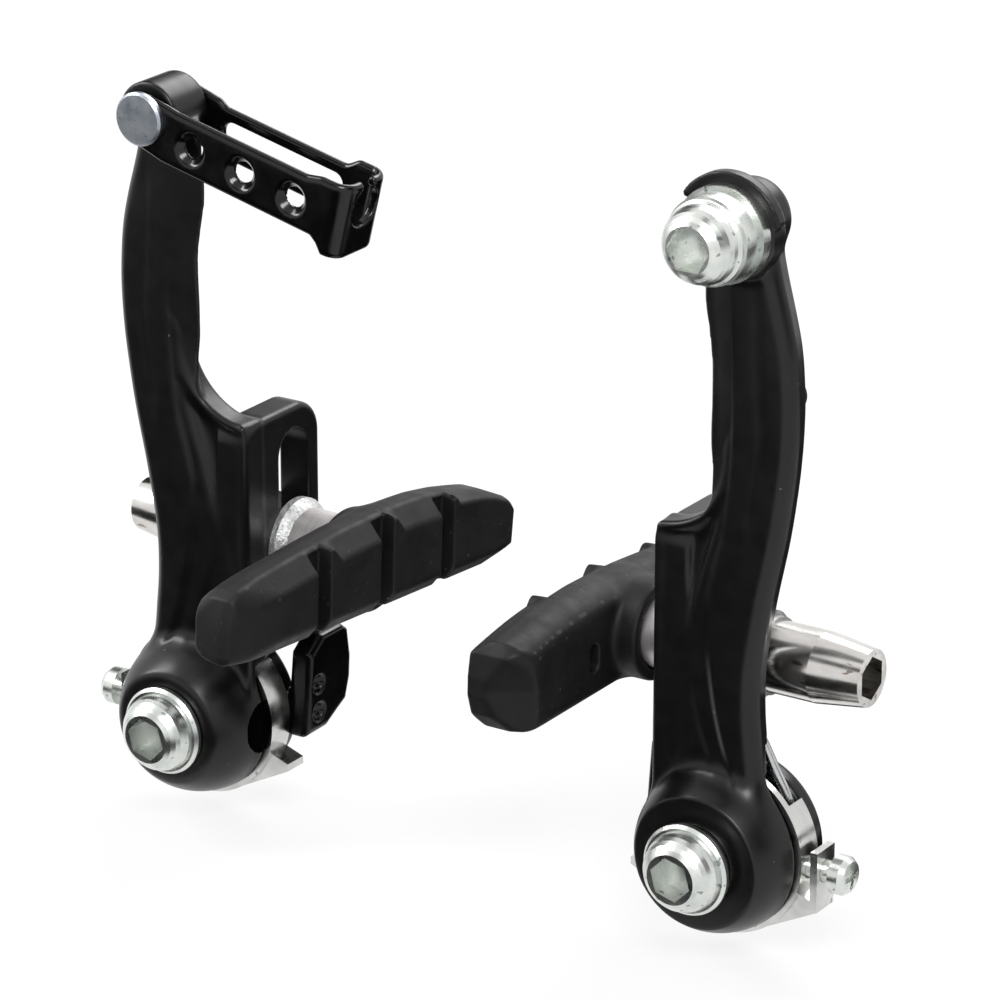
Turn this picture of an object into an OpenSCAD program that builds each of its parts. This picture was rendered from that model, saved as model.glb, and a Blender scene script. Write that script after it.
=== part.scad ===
// A pair of linear-pull rim brake arms, placed as they stand on a fork.
// Millimetres. X runs across the fork, Y backwards, Z up.
// The origin lies midway between the two frame bosses, in the plane of their shoulders.

/* [Frame bosses] */
// Distance between the two pivot axes
boss_spacing = 80; // [76:1:96]
// Length of a boss from its shoulder to its open end
boss_len = 16; // [14:0.5:19]
// Radius of a boss
boss_r = 4; // [3.5:0.1:4.2]

/* [Arms] */
// Height of the upper joint above the pivot
arm_h = 82; // [78:1:100]
// Outward offset of the upper joint from the pivot
arm_lean = 3.2; // [1:0.2:5]
// Front to back thickness of the beam
beam_depth = 5.4; // [4.5:0.1:6.5]
// How far the beam's front lies behind the pivot bolt's seat
beam_set_back = 5.3; // [4:0.1:6]
// Radius of the pivot dome
dome_r = 10.8; // [9.6:0.1:12]
// Depth of the pivot hub behind the pivot bolt's seat
hub_depth = 8; // [7.6:0.1:9]

/* [Pad lug] */
// Distance from the pivot axis in to the lug's inner face
lug_inset = 9; // [8:0.1:10]
// Thickness of the lug
lug_t = 4.5; // [3.5:0.1:5]
// Height of the lug's top above the pivot
lug_top = 42.4; // [40:0.2:52]
// Length of the slot from end to end
slot_len = 24.4; // [20:0.2:26]
// Distance of the slot's axis behind the boss shoulders
slot_y = 1.3; // [0:0.1:2.5]
// Radius of the pad stud
stud_r = 3; // [2.4:0.1:3.2]
// Clearance of the stud in the slot, on each side
slot_gap = 0.3; // [0.25:0.05:0.5]

/* [Pads] */
// Length of a pad
pad_len = 60; // [50:1:72]
// Height of a pad at its middle
pad_h = 13; // [11:0.2:14]
// Thickness of a pad
pad_t = 7.4; // [6:0.2:9]
// Gap between a pad's back and the lug
pad_standoff = 9.4; // [8.6:0.1:11]
// Height of the left stud above the pivot
left_stud_z = 22.8; // [20:0.2:26]
// Height of the right stud above the pivot
right_stud_z = 22.8; // [20:0.2:26]
// Toe-in of the left pad as it is set, in degrees
left_toe = 2.4; // [0:0.2:4]
// Tilt of the left pad along the rim as it is set, in degrees
left_pitch = 2.8; // [0:0.2:6]

/* [Link] */
// Length from the link pin to the outer face of the end plate
link_len = 30.4; // [27:0.2:37]
// Thickness of the link's sheet
link_t = 1.2; // [0.8:0.1:1.5]
// Radius of the link pin
pin_r = 1.6; // [1.3:0.1:1.9]
// Radius of the hole for the cable guide pipe
guide_r = 2.7; // [2.2:0.1:2.9]
// Droop of the link below the horizontal, in degrees
link_droop = 13.7; // [0:0.5:40]

/* [Spring] */
// Radius of the spring wire
wire_r = 0.65; // [0.5:0.05:0.75]
// Mean radius of the spring's coil
coil_r = 8.2; // [7.6:0.1:8.6]
// Height of the spring peg above the pivot
peg_z = 59; // [55:1:66]

/* [Hidden] */
$fn = 64;
fit = 0.06;            // running clearance of a pin in its bore
rub = 0.1;             // clearance between flat faces that slide
eps = 0.01;
seat_y = -boss_len;    // the pivot bolt's flange bears here
bushing_r = boss_r + 1;
bushing_bore = boss_r + 0.16;
beam_y0 = seat_y + beam_set_back;
beam_y1 = beam_y0 + beam_depth;
hub_y0 = seat_y + 0.2;
hub_y1 = seat_y + hub_depth;
bolt_r = 3;
flange_r = 5.95;
hex_r = 2.5 / cos(30);  // corner radius of a 5 mm hexagon socket
bracket_y0 = hub_y1 + rub;
bracket_y1 = -3.8;
bracket_r = dome_r + 0.7;
sheet_t = 1;
screw_y = (bracket_y0 + bracket_y1) / 2 + 0.5;
retainer_y0 = bracket_y1 + 0.2;
sweep_r = bracket_r + 0.9;   // the lug stays outside this radius
lug_u0 = -lug_inset;
lug_u1 = lug_u0 + lug_t;
lug_mid = (lug_u0 + lug_u1) / 2;
lug_back = slot_y + stud_r + slot_gap + 1.4;
slot_w = 2 * (stud_r + slot_gap);
slot_top = lug_top - 4;
seat_r = 6.8;                // spherical seats of the dished washers
washer_r = 6;
spacer_r = 5;
nut_r = 4.6;
nut_len = 13.4;
nut_u = lug_mid + 8.95;      // inner end of the pad nut
cheek_gap = beam_depth + 1.6 + 2 * rub;
cheek_y0 = beam_y0 - 1.5 - rub;   // inner face of the front cheek
anchor_y = beam_y0 - 3.7;    // front face of the cable anchor's boss
peg_u = 5.5;

// Smooth curve through pairs of a position and a value
function span(tab, x, i = 0) = (i >= len(tab) - 2 || x < tab[i + 1][0]) ? i : span(tab, x, i + 1);
function slope(tab, i) =
    let (a = tab[max(i - 1, 0)], b = tab[min(i + 1, len(tab) - 1)]) (b[1] - a[1]) / (b[0] - a[0]);
function curve(tab, x) =
    let (i = span(tab, x), w = tab[i + 1][0] - tab[i][0], t = (x - tab[i][0]) / w)
    (2 * t ^ 3 - 3 * t ^ 2 + 1) * tab[i][1] + (t ^ 3 - 2 * t ^ 2 + t) * slope(tab, i) * w
    + (3 * t ^ 2 - 2 * t ^ 3) * tab[i + 1][1] + (t ^ 3 - t ^ 2) * slope(tab, i + 1) * w;

// Closed skin over rings of points, each ring with the same number of points
module skin(rings) {
    n = len(rings[0]);
    last = len(rings) - 1;
    walls = [for (i = [0:last - 1], k = [0:n - 1])
        let (a = i * n + k, b = i * n + (k + 1) % n) each [[a, b + n, b], [a, a + n, b + n]]];
    low = [for (k = [1:n - 2]) [0, k, k + 1]];
    high = [for (k = [1:n - 2]) [last * n, last * n + k + 1, last * n + k]];
    polyhedron([for (r = rings) each r], concat(walls, low, high), convexity = 6);
}

// Round wire along a path, with one ring of points at each point of the path
function unit(v) = v / norm(v);
function turn(axis, v, a) = v * cos(a) + cross(axis, v) * sin(a) + axis * (axis * v) * (1 - cos(a));
module wire(path, r, sides = 8) {
    last = len(path) - 1;
    skin([for (i = [0:last])
        let (
            d = unit(path[min(i + 1, last)] - path[max(i - 1, 0)]),
            side = unit(cross(d, [0, 1, 0.02]))
        ) [for (k = [0:sides - 1]) path[i] + r * turn(d, side, 360 * k / sides)]]);
}

// Cylinder along Y or along X, from one coordinate to another
module rod_y(y0, y1, r, r2 = -1) {
    translate([0, y1, 0]) rotate([90, 0, 0]) cylinder(h = y1 - y0, r1 = r2 < 0 ? r : r2, r2 = r);
}
module rod_x(x0, x1, r, r2 = -1) {
    translate([x0, 0, 0]) rotate([0, 90, 0]) cylinder(h = x1 - x0, r1 = r, r2 = r2 < 0 ? r : r2);
}
// Solid of revolution about X or Y; the outline holds radius and place along the axis
module lathe_x() { rotate([0, 90, 0]) rotate_extrude() children(); }
module lathe_y() { rotate([-90, 0, 0]) rotate_extrude() children(); }

// Each side is drawn for the right, with its pivot at the origin and outward along +X
module on_side(s) {
    if (s > 0) translate([boss_spacing / 2, 0, 0]) children();
    else mirror([1, 0, 0]) translate([boss_spacing / 2, 0, 0]) children();
}
function stud_z(s) = s > 0 ? right_stud_z : left_stud_z;
function toe(s) = s > 0 ? 0 : left_toe;
// The stud and what is threaded on it, tilted about the seats' common centre
module on_stud(s) {
    translate([lug_mid, slot_y, stud_z(s)]) rotate([0, 0, toe(s)]) children();
}

// Edges of the beam seen from the front, as a share of its height and an offset from the pivot
outer_edge = [
    [0, 8.8], [0.07, 8.2], [0.11, 7.1], [0.16, 6.1], [0.235, 5.3], [0.31, 5.35], [0.41, 6.6],
    [0.5, 8.1], [0.56, 8.9], [0.64, 9.7], [0.71, 9.95], [0.76, 9.8], [0.81, 9.4], [0.86, 8.6],
    [0.94, 7.1], [1, 6.6]
];
inner_edge = [
    [0, -8.4], [0.07, -7.2], [0.11, -6], [0.18, -5.2], [0.28, -5], [0.34, -4.8], [0.44, -2.6],
    [0.52, -1.1], [0.6, -0.9], [0.65, -1.3], [0.77, -1.3], [0.82, -1.8], [0.87, -2.5],
    [0.95, -2.6], [1, -2.4]
];
function beam_ring(z) =
    let (
        f = z / arm_h,
        shift = arm_lean - 3.2,
        u0 = curve(inner_edge, f) + shift * f,
        u1 = curve(outer_edge, f) + shift * f,
        mid = (u0 + u1) / 2,
        half = (u1 - u0) / 2,
        y_mid = (beam_y0 + beam_y1) / 2
    )
    [for (k = [0:27])
        let (
            a = 360 * k / 28,
            p = sign(cos(a)) * abs(cos(a)) ^ 0.62,
            q = sign(sin(a)) * abs(sin(a)) ^ 0.62,
            narrowing = 0.84 - 0.16 * q
        )
        [mid + half * p * narrowing, y_mid + q * beam_depth / 2, z]];

// Pivot dome: a ball cut flat in front, where the bolt's flange bears
module hub() {
    lathe_y() intersection() {
        translate([0, hub_y1]) circle(r = dome_r, $fn = 96);
        translate([0, hub_y0]) square([dome_r, hub_y1 - hub_y0]);
    }
}

// The lug stands rearwards from the beam's inner side and holds the slot
module lug() {
    round_r = 5;
    translate([lug_u0, 0, 0]) rotate([90, 0, 90]) linear_extrude(lug_t) {
        translate([beam_y0 + 1.2, 6]) square([lug_back - beam_y0 - 1.2, lug_top - round_r - 6]);
        translate([lug_back - round_r, lug_top - round_r]) circle(r = round_r);
        polygon([
            [beam_y0 + 1.2, lug_top - round_r - 1], [beam_y0 + 1.2, lug_top - 2.2],
            [beam_y0 + 2.6, lug_top - 0.5], [beam_y0 + 5, lug_top],
            [lug_back - round_r, lug_top], [lug_back - round_r, lug_top - round_r - 1]
        ]);
    }
}
// Recessed web between the beam and the lug, with a hollow curve at its top
module web() {
    translate([0, beam_y1 - 0.4, 0]) rotate([90, 0, 0])
        linear_extrude(beam_depth - 1.9) difference() {
            translate([lug_u0, 5]) square([lug_inset + 2, lug_top + 7]);
            translate([lug_u0 - 1, lug_top + 10.6]) circle(r = 11.4);
        }
}
module slot_cut() {
    translate([lug_u0 - 1, slot_y, 0]) rotate([90, 0, 90]) linear_extrude(lug_t + 2) {
        translate([0, slot_top - slot_w / 2]) circle(d = slot_w);
        translate([0, slot_top - slot_len + slot_w / 2]) circle(d = slot_w);
        translate([-slot_w / 2, slot_top - slot_len + slot_w / 2])
            square([slot_w, slot_len - slot_w]);
    }
}
// Room beside the lug for the outer washers, over the slot's whole length
module seat_room() {
    r = washer_r + 0.3;
    translate([lug_u1 + eps, slot_y, 0]) rotate([90, 0, 90]) linear_extrude(washer_r) {
        for (z = [slot_top - slot_w / 2, slot_top - slot_len + slot_w / 2])
            translate([0, z]) circle(r = r);
        translate([-r, slot_top - slot_len + slot_w / 2])
            square([2 * r, slot_len - slot_w]);
    }
}
// Groove in the beam's back, where the spring's leg lies
module spring_groove() {
    w = wire_r + 0.35;
    rise = [for (z = [18:6:54]) z];
    translate([0, beam_y1 + 1, 0]) rotate([90, 0, 0])
        linear_extrude(beam_y1 + 1 - groove_y + wire_r + 0.3) polygon(concat(
            [for (z = rise) [curve(leg_side, z) + w, z * peg_z / 59]],
            [for (i = [len(rise) - 1:-1:0]) [curve(leg_side, rise[i]) - w, rise[i] * peg_z / 59]],
            [[3, 9], [10, 6], [10, 11]]
        ));
}
module arm_core() {
    skin([for (i = [0:26]) beam_ring(2 + (arm_h - 3) * i / 26)]);
    hub();
    lug();
    web();
}
module arm_cuts() {
    rod_y(seat_y - 1, hub_y1 + 1, bushing_r + fit);
    rod_y(hub_y1, lug_back + 2, sweep_r);
    slot_cut();
    seat_room();
    spring_groove();
    translate([peg_u, 0, peg_z]) rod_y(beam_y1 - 2, beam_y1 + 1, 1.2);
}
module left_arm() color([0.1, 0.1, 0.11]) on_side(-1) difference() {
    union() {
        arm_core();
        translate([arm_lean, 0, arm_h]) rod_y(cheek_y0 + rub, cheek_y0 + cheek_gap - rub, 4);
    }
    arm_cuts();
    translate([arm_lean, 0, arm_h]) rod_y(cheek_y0 - 1, cheek_y0 + cheek_gap + 1, pin_r + fit);
}
// The right arm ends in the cable anchor's boss, with a lip that hooks over the washer
module right_arm() color([0.1, 0.1, 0.11]) on_side(1) difference() {
    union() {
        arm_core();
        translate([arm_lean, 0, arm_h]) {
            rod_y(anchor_y, beam_y0 + 1, 6.2);
            translate([-0.6, 0, 0]) rod_y(beam_y0, beam_y1, 4.6);
            intersection() {
                difference() {
                    rod_y(anchor_y - 2.2, anchor_y + 1, 7.3);
                    rod_y(anchor_y - 3, anchor_y, 6.2);
                }
                translate([-4, anchor_y - 3, 2]) cube([10, 5, 7]);
            }
        }
    }
    arm_cuts();
    translate([arm_lean, 0, arm_h]) rod_y(anchor_y - 1, beam_y1 + 1, bolt_r + 0.05);
}

// Sleeve that slips over the frame's boss, and that the arm turns on
module bushing(s) color("silver") on_side(s) difference() {
    rod_y(seat_y, 0, bushing_r);
    rod_y(seat_y - 1, 1, bushing_bore);
}
// Socket screw along Y with a domed head in front of y = 0
module domed_screw(shank_len, head_h, head_r, skirt_r) {
    difference() {
        union() {
            lathe_y() polygon(concat(
                [[0, 0], [skirt_r, 0], [skirt_r, -0.6], [skirt_r - 0.4, -1], [head_r, -1]],
                [for (a = [0:10:60]) [
                    head_r - 1.9 * (1 - cos(a)) / 0.5,
                    -1 - (head_h - 1) * sin(a) / sin(60)
                ]],
                [[0, -head_h]]
            ));
            rod_y(-eps, 0.4, bolt_r - 0.4);
            rod_y(0.4, shank_len, bolt_r);
        }
        translate([0, -head_h + 3, 0]) rotate([90, 0, 0]) cylinder(h = 4, r = hex_r, $fn = 6);
    }
}
module pivot_bolt(s) color([0.8, 0.82, 0.85]) on_side(s)
    translate([0, seat_y, 0]) rotate([0, s * 15, 0]) domed_screw(boss_len, 4.2, 5.2, flange_r);

// Stamped bracket: a channel ring round the spring, a strap below it and two folded ears
module spring_bracket(s) color([0.82, 0.83, 0.84]) on_side(s) difference() {
    union() {
        rod_y(bracket_y0, bracket_y1, bracket_r);
        for (m = [0, 1]) mirror([m, 0, 0]) translate([0, bracket_y1, 0])
            rotate([90, 0, 0]) linear_extrude(bracket_y1 - bracket_y0 - 0.6)
                polygon([
                    [bracket_r * sin(30), -bracket_r * cos(30)], [bracket_r + 2, -6],
                    [bracket_r + 2, -5], [bracket_r * sin(60), -bracket_r * cos(60) + 2]
                ]);
        translate([bracket_r + 1, bracket_y0 + 0.4, -6])
            cube([sheet_t, bracket_y1 - bracket_y0 + 0.2, 8]);
    }
    rod_y(bracket_y0 - 1, bracket_y1 + 1, bushing_r);
    rod_y(bracket_y0 + sheet_t, bracket_y1 + 1, bracket_r - sheet_t);
    translate([bracket_r - 2, screw_y, -1]) rod_x(0, 6, 1.5);
    translate([3, bracket_y0 + sheet_t, 5]) cube([6, 5, 7]);
}
// Moulded disc that closes the bracket's channel behind the spring
module spring_retainer(s) color([0.06, 0.06, 0.06]) on_side(s) difference() {
    union() {
        rod_y(retainer_y0, 0, bracket_r);
        rod_y(bracket_y0 + sheet_t + 0.2, retainer_y0 + 0.5, coil_r - wire_r - 0.4);
        translate([-bracket_r - 2.4, 0, 0]) rotate([90, 0, 90]) linear_extrude(3.4) polygon([
            [retainer_y0, -4.4], [3.4, -4.4], [5.4, -3.2], [6.4, -1], [6.4, 4.4], [5.6, 6],
            [4, 6.6], [retainer_y0, 6.6]
        ]);
    }
    rod_y(bracket_y0, 6, bushing_r);
    rod_y(0, 6, bracket_r - 0.4);
}

// Return spring: a coil round the pivot, and a leg up the back of the arm to the peg
coil_y = retainer_y0 - wire_r - 0.12;
coil_pitch = 2 * wire_r + 0.08;
function coil_point(a) = [coil_r * cos(a), coil_y + coil_pitch * a / 360, coil_r * sin(a)];
groove_y = beam_y1 - wire_r - 0.3;     // the leg lies in a groove here
peg_wire_y = beam_y1 + wire_r + 0.8;   // and passes the peg here
leg_side = [
    [0, coil_r], [6, 7.9], [12, 5.4], [18, 3.2], [26, 2.1], [42, 2.6], [59, 3.6], [64.5, 3.9],
    [67, 2.7]
];
leg_depth = [
    [0, coil_y], [6, -4.6], [12, -5.3], [18, groove_y], [42, groove_y], [54, peg_wire_y - 0.4],
    [59, peg_wire_y], [64.5, peg_wire_y], [67, peg_wire_y + 0.5]
];
module return_spring(s) color("silver") on_side(s)
    wire(concat(
        [for (a = [-375:15:-15]) coil_point(a)],
        [for (i = [0:24]) let (z = 67 * i / 24) [curve(leg_side, z), curve(leg_depth, z), z * peg_z / 59]]
    ), wire_r);
module spring_peg(s) color([0.08, 0.08, 0.08]) on_side(s)
    translate([peg_u, beam_y1, peg_z]) lathe_y() polygon([
        [0, -1.8], [1.2, -1.8], [1.2, 2.2], [2.3, 2.4], [2.3, 2.8], [1.6, 3.4], [0, 3.6]
    ]);
module tension_screw(s) color([0.8, 0.82, 0.85]) on_side(s)
    translate([bracket_r + 1, screw_y, -1]) difference() {
        union() {
            rod_x(-1.4, 2.6, 1.5 - fit);
            lathe_x() polygon([[0, 2.5], [2.5, 2.5], [2.5, 3.9], [2, 4.6], [0, 4.9]]);
        }
        translate([4, -0.35, -1.6]) cube([2, 0.7, 3.2]);
        translate([4, -1.6, -0.35]) cube([2, 3.2, 0.7]);
    }

// Rubber pads seen from the side: place along the rim and height, both from the stud's axis
left_pad_outline = [
    [-33.5, -5.3], [-32.7, -5.8], [22, -5.8], [25.6, -4.6], [26.3, -3.4], [26.5, 1.2],
    [25.2, 3.8], [20, 4.9], [14.2, 6], [9, 6.8], [4.2, 7.2], [-1, 7.4], [-6.3, 7.2],
    [-12, 6.7], [-17, 6.1], [-24, 5.2], [-29.9, 4], [-32.3, 1.9], [-33.5, -1]
];
right_pad_outline = [
    [-27.6, -1.4], [-24.4, -6.2], [-22.5, -6.9], [22, -6.9], [30, -6.4], [32, -5],
    [32, -2.6], [30, 0], [27, 1.8], [22, 3.2], [12, 4.8], [2, 5.6], [-17, 5.6], [-24, 5.2],
    [-27, 4.3]
];
module brake_pad(s) color([0.09, 0.09, 0.09]) on_side(s) on_stud(s)
    rotate([s > 0 ? 0 : -left_pitch, 0, 0]) {
        back_u = lug_u0 - lug_mid - pad_standoff;
        face_u = back_u - pad_t;
        low = (s > 0 ? -6.9 : -5.8) * pad_h / 13;
        difference() {
            translate([face_u, 0, 0]) rotate([90, 0, 90]) linear_extrude(pad_t)
                polygon([for (p = s > 0 ? right_pad_outline : left_pad_outline)
                    [p[0] * pad_len / 60, p[1] * pad_h / 13]]);
            for (y = [-12, 4, 19]) translate([face_u - 1, -s * y - 0.9, -pad_h])
                cube([3.2, 1.8, 2 * pad_h]);
            translate([0, pad_len, 0]) rotate([90, 0, 0]) linear_extrude(2 * pad_len)
                polygon([[face_u - 1, low - 3], [face_u + 5.4, low - 3], [face_u - 1, low + 3.4]]);
            rod_x(back_u - 3, back_u + 1, stud_r + 0.02);
        }
    }
module pad_stud(s) color("silver") on_side(s) on_stud(s)
    rod_x(lug_u0 - lug_mid - pad_standoff - 3, nut_u - lug_mid + nut_len - 5.4, stud_r);

// Dished washer: flat on the lug, a ball zone on its other side
module dished_washer(dir) color([0.68, 0.68, 0.67]) mirror([dir > 0 ? 0 : 1, 0, 0]) lathe_x()
    difference() {
        circle(r = seat_r, $fn = 96);
        translate([-seat_r - 1, -seat_r - 1]) square([2 * seat_r + 2, seat_r + 1 + lug_t / 2]);
        translate([washer_r, 0]) square(seat_r);
        translate([-seat_r - 1, 0]) square([seat_r + 1 + stud_r + 0.9, seat_r + 1]);
    }
module at_stud(s) { translate([lug_mid, slot_y, stud_z(s)]) children(); }
module inner_dished_washer(s) on_side(s) at_stud(s) dished_washer(-1);
module outer_dished_washer(s) on_side(s) at_stud(s) dished_washer(1);
module spacer(x0, x1, r) {
    difference() {
        rod_x(x0, x1, r);
        sphere(r = seat_r + fit, $fn = 96);
        rod_x(x0 - 1, x1 + 1, stud_r + fit);
    }
}
module inner_spacer(s) color([0.75, 0.75, 0.76]) on_side(s) on_stud(s)
    spacer(lug_u0 - lug_mid - pad_standoff + rub / 2, -4, spacer_r);
module outer_spacer(s) color([0.68, 0.68, 0.67]) on_side(s) on_stud(s)
    spacer(3, nut_u - lug_mid - 1.2, spacer_r + 0.6);
module lock_washer(s) color("silver") on_side(s) on_stud(s) difference() {
    rod_x(nut_u - lug_mid - 1.2, nut_u - lug_mid, spacer_r);
    rod_x(0, 20, stud_r + fit);
}
// Barrel nut with a tapered end and a hexagon socket
module pad_nut(s) color([0.85, 0.85, 0.87]) on_side(s) on_stud(s)
    translate([nut_u - lug_mid, 0, 0]) difference() {
        union() {
            rod_x(0, nut_len / 2, nut_r);
            rod_x(nut_len / 2, nut_len, nut_r, nut_r - 0.9);
        }
        rod_x(-1, nut_len - 4.9, stud_r + fit);
        translate([nut_len - 5, 0, 0]) rotate([0, 90, 0]) cylinder(h = 6, r = hex_r, $fn = 6);
    }

// Link coordinates: X along the link from its pin, Z up, turned down by the droop
module on_link() {
    translate([-boss_spacing / 2 - arm_lean, 0, arm_h]) rotate([0, link_droop, 0]) children();
}
module link_plan(len, y0, y1, r) {
    translate([-10, y0]) square([len + 10 - r, y1 - y0]);
    translate([len - r - 1, y0 + r]) square([r + 1, y1 - y0 - 2 * r]);
    for (y = [y0 + r, y1 - r]) translate([len - r, y]) circle(r = r);
}
cheek_y1 = cheek_y0 + cheek_gap;
guide_y = (cheek_y0 + cheek_y1) / 2;
module guide_link() color([0.05, 0.05, 0.05]) on_link() difference() {
    intersection() {
        translate([0, 0, -10]) linear_extrude(20) difference() {
            link_plan(link_len, cheek_y0 - link_t, cheek_y1 + link_t, 2 * link_t);
            link_plan(link_len - link_t, cheek_y0, cheek_y1, link_t);
        }
        translate([0, cheek_y1 + 5, 0]) rotate([90, 0, 0]) linear_extrude(cheek_gap + 10) {
            circle(r = 4);
            polygon([
                [0, 3.2], [0, -4], [4, -4.65], [link_len - 4.2, -4.65], [link_len - 2.6, -6.6],
                [link_len + 1, -6.6], [link_len + 1, 3.4], [link_len - 4, 3.4],
                [link_len - 6, 2.8], [5, 2.8]
            ]);
        }
    }
    rod_y(cheek_y0 - 5, cheek_y1 + 5, pin_r);
    for (u = [0.25, 0.5, 0.75]) translate([u * link_len, 0, -1]) {
        rod_y(cheek_y0 - 5, cheek_y0 + 1, 1.5);
        rod_y(cheek_y0 - link_t - eps, cheek_y0 - link_t + 0.5, 2.1, 1.5);
    }
    translate([6, cheek_y1 - 1, 2.2]) cube([link_len - 11, link_t + 2, 4]);
    translate([0, cheek_y1 + 5, -1]) rotate([90, 0, 0]) linear_extrude(6) {
        translate([8.4, -1.4]) square([link_len - 15.8, 2.8]);
        for (u = [8.4, link_len - 7.4]) translate([u, 0]) circle(r = 1.4);
    }
    translate([0, guide_y, 0]) rod_x(link_len - 5, link_len + 5, guide_r);
    translate([link_len - 5, guide_y - 1.1, 0]) cube([10, 2.2, 10]);
}
module link_pin() color([0.75, 0.78, 0.8]) on_link() {
    rod_y(cheek_y0 - link_t - eps, cheek_y1 + link_t + 0.5, pin_r);
    lathe_y() polygon([
        [0, cheek_y0 - link_t - 0.9], [3.2, cheek_y0 - link_t - 0.9],
        [3.5, cheek_y0 - link_t - 0.6], [3.5, cheek_y0 - link_t], [0, cheek_y0 - link_t]
    ]);
    lathe_y() polygon([
        [0, cheek_y1 + link_t], [2.3, cheek_y1 + link_t], [1.6, cheek_y1 + link_t + 0.8],
        [0, cheek_y1 + link_t + 0.9]
    ]);
}
module anchor_washer() color([0.8, 0.82, 0.85]) on_side(1)
    translate([arm_lean, anchor_y, arm_h]) difference() {
        union() {
            rod_y(-4.6, -1.6, 5.5);
            rod_y(-1.6, 0, 6);
        }
        rod_y(-6, 1, bolt_r + 0.1);
    }
module anchor_bolt() color([0.8, 0.82, 0.85]) on_side(1)
    translate([arm_lean, anchor_y - 4.6, arm_h]) domed_screw(12.4, 4.4, 4.9, 5.25);

left_arm();
bushing(-1);  // left_pivot_bushing
pivot_bolt(-1);  // left_pivot_bolt
spring_bracket(-1);  // left_spring_bracket
spring_retainer(-1);  // left_spring_retainer
return_spring(-1);  // left_return_spring
spring_peg(-1);  // left_spring_peg
tension_screw(-1);  // left_tension_screw
brake_pad(-1);  // left_brake_pad
pad_stud(-1);  // left_pad_stud
inner_dished_washer(-1);  // left_inner_dished_washer
inner_spacer(-1);  // left_inner_spacer
outer_dished_washer(-1);  // left_outer_dished_washer
outer_spacer(-1);  // left_outer_spacer
lock_washer(-1);  // left_lock_washer
pad_nut(-1);  // left_pad_nut
right_arm();
bushing(1);  // right_pivot_bushing
pivot_bolt(1);  // right_pivot_bolt
spring_bracket(1);  // right_spring_bracket
spring_retainer(1);  // right_spring_retainer
return_spring(1);  // right_return_spring
spring_peg(1);  // right_spring_peg
tension_screw(1);  // right_tension_screw
brake_pad(1);  // right_brake_pad
pad_stud(1);  // right_pad_stud
inner_dished_washer(1);  // right_inner_dished_washer
inner_spacer(1);  // right_inner_spacer
outer_dished_washer(1);  // right_outer_dished_washer
outer_spacer(1);  // right_outer_spacer
lock_washer(1);  // right_lock_washer
pad_nut(1);  // right_pad_nut
guide_link();
link_pin();
anchor_bolt();
anchor_washer();
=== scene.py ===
import math
import bpy
import numpy as np
from mathutils import Matrix, Vector


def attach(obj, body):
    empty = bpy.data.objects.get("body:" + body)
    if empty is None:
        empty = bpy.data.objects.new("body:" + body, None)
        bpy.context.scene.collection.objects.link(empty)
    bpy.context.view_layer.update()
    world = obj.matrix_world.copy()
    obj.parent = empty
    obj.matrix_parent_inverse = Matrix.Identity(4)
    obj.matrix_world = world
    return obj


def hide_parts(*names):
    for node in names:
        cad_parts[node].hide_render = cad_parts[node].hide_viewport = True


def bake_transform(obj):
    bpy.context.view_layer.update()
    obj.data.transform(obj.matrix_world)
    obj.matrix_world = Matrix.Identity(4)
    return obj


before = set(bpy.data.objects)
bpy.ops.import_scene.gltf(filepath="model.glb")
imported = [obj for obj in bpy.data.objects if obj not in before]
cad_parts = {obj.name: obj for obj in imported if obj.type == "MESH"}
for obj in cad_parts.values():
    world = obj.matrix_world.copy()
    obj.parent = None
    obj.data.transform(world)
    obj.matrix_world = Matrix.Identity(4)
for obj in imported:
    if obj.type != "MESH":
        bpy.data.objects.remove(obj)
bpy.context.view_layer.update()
print("frame loaded")

# shared sizes of the pair, in millimetres, in the frame's own directions
pair = {
    "pivotX": 40.0,      # half the distance between the pivots
    "seatY": -16.0,      # the pivot bolts' flanges bear here
    "hubBack": -8.0,
    "armHeight": 82.0,
    "lean": 3.2,         # how far the upper joint lies outside the pivot
    "lugMid": -6.75,
    "slotY": 1.3,
    "studZ": {"left": 22.8, "right": 22.8},
    "toe": {"left": 2.4, "right": 0.0},
    "pitch": {"left": 2.8, "right": 0.0},
}
sides = {"left": -1.0, "right": 1.0}


# tools for shapes

def curve(table, at):
    # cubic through the table's points, its slope at each one taken from the two beside it
    places, values = np.array(table, dtype=np.float64).T
    last = len(places) - 1
    before = np.maximum(np.arange(last + 1) - 1, 0)
    after = np.minimum(np.arange(last + 1) + 1, last)
    slopes = (values[after] - values[before]) / (places[after] - places[before])
    at = np.clip(at, places[0], places[-1])
    i = np.clip(np.searchsorted(places, at, side="right") - 1, 0, last - 1)
    width = places[i + 1] - places[i]
    t = (at - places[i]) / width
    return ((2 * t**3 - 3 * t**2 + 1) * values[i] + (t**3 - 2 * t**2 + t) * slopes[i] * width
            + (3 * t**2 - 2 * t**3) * values[i + 1] + (t**3 - t**2) * slopes[i + 1] * width)


def join(a, b, soft):
    # union of two distance fields, with a fillet about as wide as soft
    share = np.clip(0.5 + 0.5 * (b - a) / soft, 0, 1)
    return b + (a - b) * share - soft * share * (1 - share)


def meet(a, b, soft):
    # what both fields hold, its new edges rounded
    return -join(-a, -b, soft)


def carve(a, b, soft):
    # the first field without the second, its new edges rounded
    return -join(-a, b, soft)


def step(value, width):
    # smooth rise from 0 to 1, centred on 0
    t = np.clip(value / width + 0.5, 0, 1)
    return t * t * (3 - 2 * t)


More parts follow.
